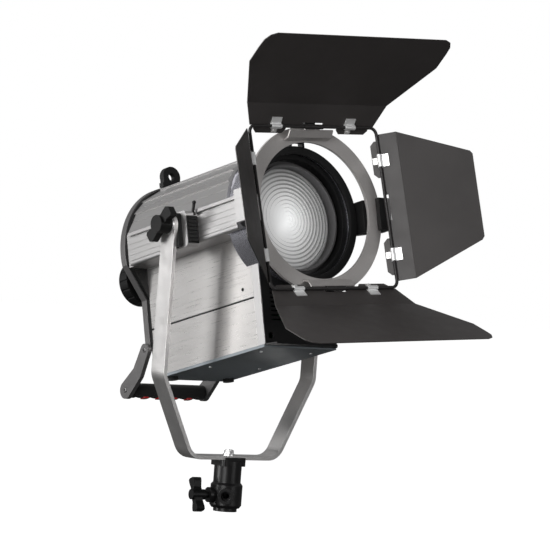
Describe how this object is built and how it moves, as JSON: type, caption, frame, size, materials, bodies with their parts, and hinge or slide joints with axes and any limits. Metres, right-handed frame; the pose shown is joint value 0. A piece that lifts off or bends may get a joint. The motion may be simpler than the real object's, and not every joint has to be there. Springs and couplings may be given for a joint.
{
  "type": "fresnel spotlight",
  "caption": "Studio spotlight with a stepped lens, finned housing on a tilting yoke, four barn door leaves on a turning ring, carrying handle and stand socket.",
  "frame": {"origin": "centre of the mouth of the stand socket under the yoke", "axes": "-Z leaves the stand socket towards the stand; -Y is the side the beam leaves by; +X is the side away from the tilt knob"},
  "size_m": [0.3788, 0.4838, 0.6015],
  "materials": {
    "yoke_paint": "satin grey enamel",
    "cast_gunmetal": "dark gunmetal paint over a casting",
    "bright_steel": "bright zinc-plated steel",
    "black_plastic": "matt moulded black",
    "silver_anodised": "satin anodised with fine grooves",
    "black_rubber": "matt black",
    "side_sheet": "satin anodised sheet",
    "slate_paint": "dark slate enamel",
    "black_paint": "matt black heat-proof paint",
    "grey_anodised": "blue-grey anodised",
    "lens_glass": "clear stepped borosilicate",
    "retainer_grey": "grey anodised ring",
    "frame_grey": "satin grey paint",
    "red_plastic": "red moulding",
    "led_board": "yellow phosphor chip on a white board",
    "reflector_mirror": "bright spun reflector",
    "heat_sink_alu": "bare machined aluminium",
    "circuit_board": "green board and zinc-plated case",
    "display_glass": "dark display window",
    "ring_grey": "satin grey paint",
    "wire_black": "satin black paint",
    "leaf_black": "matt black heat-proof paint on sheet",
    "nickel": "bright nickel plate"
  },
  "bodies": {
    "yoke": {"yoke_strap": "yoke_paint", "receiver": "cast_gunmetal", "yoke_fasteners": "bright_steel"},
    "clamp_pad_body": {"clamp_pad": "bright_steel"},
    "clamp_screw_body": {"clamp_screw": "black_plastic"},
    "knob_washer_body": {"tilt_knob_washer": "bright_steel"},
    "tilt_knob_body": {"tilt_knob": "black_plastic"},
    "brackets": {"left_bracket": "silver_anodised", "right_bracket": "silver_anodised", "friction_discs": "black_rubber", "bracket_covers": "black_plastic"},
    "rail_lever": {"rail_lock_lever": "black_plastic"},
    "head": {"upper_housing": "silver_anodised", "side_rails": "silver_anodised", "left_side_panel": "side_sheet", "right_side_panel": "side_sheet", "lower_side_panels": "side_sheet", "corner_posts": "silver_anodised", "base_plate": "slate_paint", "base_feet": "black_rubber", "front_frame": "black_paint", "front_collar": "grey_anodised", "lens_barrel": "black_paint", "lens_hood": "black_paint", "fresnel_lens": "lens_glass", "lens_retainer": "retainer_grey", "ear_arms": "silver_anodised", "ear_channels": "black_paint", "rear_cover": "black_plastic", "rear_frame": "frame_grey", "safety_loop": "black_paint", "handle_arms": "frame_grey", "handle_grip": "black_rubber", "grip_inserts": "red_plastic", "guide_rods": "bright_steel", "fan_frame": "black_plastic", "driver_electronics": "circuit_board", "display_panel": "display_glass", "power_inlet": "black_plastic"},
    "focus_drive": {"lead_screw": "bright_steel", "focus_knob": "black_plastic"},
    "light_carriage": {"carriage": "heat_sink_alu", "led_module": "led_board", "reflector": "reflector_mirror", "heat_sink": "heat_sink_alu"},
    "fan": {"fan_impeller": "black_plastic"},
    "dimmer": {"dimmer_knob": "black_plastic"},
    "switch": {"power_switch": "red_plastic"},
    "button": {"mode_button": "black_plastic"},
    "catch": {"ring_latch": "black_paint"},
    "barn_door": {"barn_ring": "ring_grey", "wire_frame": "wire_black"},
    "top_door": {"top_leaf": "leaf_black", "top_clips": "nickel"},
    "bottom_door": {"bottom_leaf": "leaf_black", "bottom_clips": "nickel"},
    "left_door": {"left_leaf": "leaf_black", "left_clips": "nickel"},
    "right_door": {"right_leaf": "leaf_black", "right_clips": "nickel"}
  },
  "joints": [
    {"name": "clamp_travel", "type": "slide", "parent": "yoke", "child": "clamp_pad_body", "axis": [0.9903, -0.1392, 0], "range_m": [-0.003, 0.00225]},
    {"name": "clamp_screw_turn", "type": "hinge", "parent": "clamp_pad_body", "child": "clamp_screw_body", "pos_m": [0, 0, 0.02], "axis": [0.9903, -0.1392, 0], "range_deg": [-720, 540]},
    {"name": "knob_travel", "type": "slide", "parent": "yoke", "child": "knob_washer_body", "axis": [-1, 0, 0], "range_m": [0, 0.0015]},
    {"name": "tilt_knob_turn", "type": "hinge", "parent": "knob_washer_body", "child": "tilt_knob_body", "pos_m": [-0.13, 0, 0.351], "axis": [-1, 0, 0], "range_deg": [0, 360]},
    {"name": "head_tilt", "type": "hinge", "parent": "yoke", "child": "brackets", "pos_m": [0, 0, 0.351], "axis": [-1, 0, 0], "range_deg": [-60, 75]},
    {"name": "rail_lever_turn", "type": "hinge", "parent": "brackets", "child": "rail_lever", "pos_m": [-0.0935, -0.01216, 0.36358], "axis": [1, 0, 0], "range_deg": [-35, 35]},
    {"name": "balance_slide", "type": "slide", "parent": "brackets", "child": "head", "axis": [0, -0.9659, 0.2588], "range_m": [0, 0.03]},
    {"name": "focus_turn", "type": "hinge", "parent": "head", "child": "focus_drive", "pos_m": [-0.046, 0.14523, 0.27482], "axis": [0, -0.9659, 0.2588], "range_deg": [-1125, 1125]},
    {"name": "focus_travel", "type": "slide", "parent": "head", "child": "light_carriage", "axis": [0, -0.9659, 0.2588], "range_m": [-0.025, 0.025]},
    {"name": "fan_turn", "type": "hinge", "parent": "head", "child": "fan", "pos_m": [0, 0.12138, 0.3133], "axis": [0, -0.9659, 0.2588], "continuous": true},
    {"name": "dimmer_turn", "type": "hinge", "parent": "head", "child": "dimmer", "pos_m": [0.026, 0.11048, 0.19923], "axis": [0, -0.9659, 0.2588], "range_deg": [-150, 150]},
    {"name": "switch_rock", "type": "hinge", "parent": "head", "child": "switch", "pos_m": [-0.025, 0.10179, 0.20156], "axis": [1, 0, 0], "range_deg": [-10, 0]},
    {"name": "button_press", "type": "slide", "parent": "head", "child": "button", "axis": [0, -0.9659, 0.2588], "range_m": [0, 0.0012], "stiffness_N_per_m": 300, "springref_m": -0.001},
    {"name": "catch_lift", "type": "hinge", "parent": "head", "child": "catch", "pos_m": [0, -0.08493, 0.46486], "axis": [-1, 0, 0], "range_deg": [0, 35], "stiffness_Nm_per_rad": 0.12, "springref_deg": -20.05},
    {"name": "barn_door_turn", "type": "hinge", "parent": "head", "child": "barn_door", "pos_m": [0, -0.13266, 0.38137], "axis": [0, -0.9659, 0.2588], "continuous": true},
    {"name": "top_door_swing", "type": "hinge", "parent": "barn_door", "child": "top_door", "pos_m": [-0.00576, -0.12517, 0.48272], "axis": [-0.9983, -0.0149, -0.0556], "range_deg": [-94, 50]},
    {"name": "bottom_door_swing", "type": "hinge", "parent": "barn_door", "child": "bottom_door", "pos_m": [0.00576, -0.17685, 0.28985], "axis": [0.9983, 0.0149, 0.0556], "range_deg": [-71, 49]},
    {"name": "left_door_swing", "type": "hinge", "parent": "barn_door", "child": "left_door", "pos_m": [-0.09983, -0.1525, 0.38073], "axis": [0.0576, -0.2584, -0.9643], "range_deg": [-140, 70]},
    {"name": "right_door_swing", "type": "hinge", "parent": "barn_door", "child": "right_door", "pos_m": [0.09983, -0.14952, 0.39185], "axis": [-0.0576, 0.2584, 0.9643], "range_deg": [-132, 70]}
  ],
  "couplings": [
    {"joint": "clamp_screw_turn", "follows": "clamp_travel", "rad_per_m": 4188.7},
    {"joint": "tilt_knob_turn", "follows": "knob_travel", "rad_per_m": 4188.7},
    {"joint": "focus_turn", "follows": "focus_travel", "rad_per_m": 785.39}
  ]
}
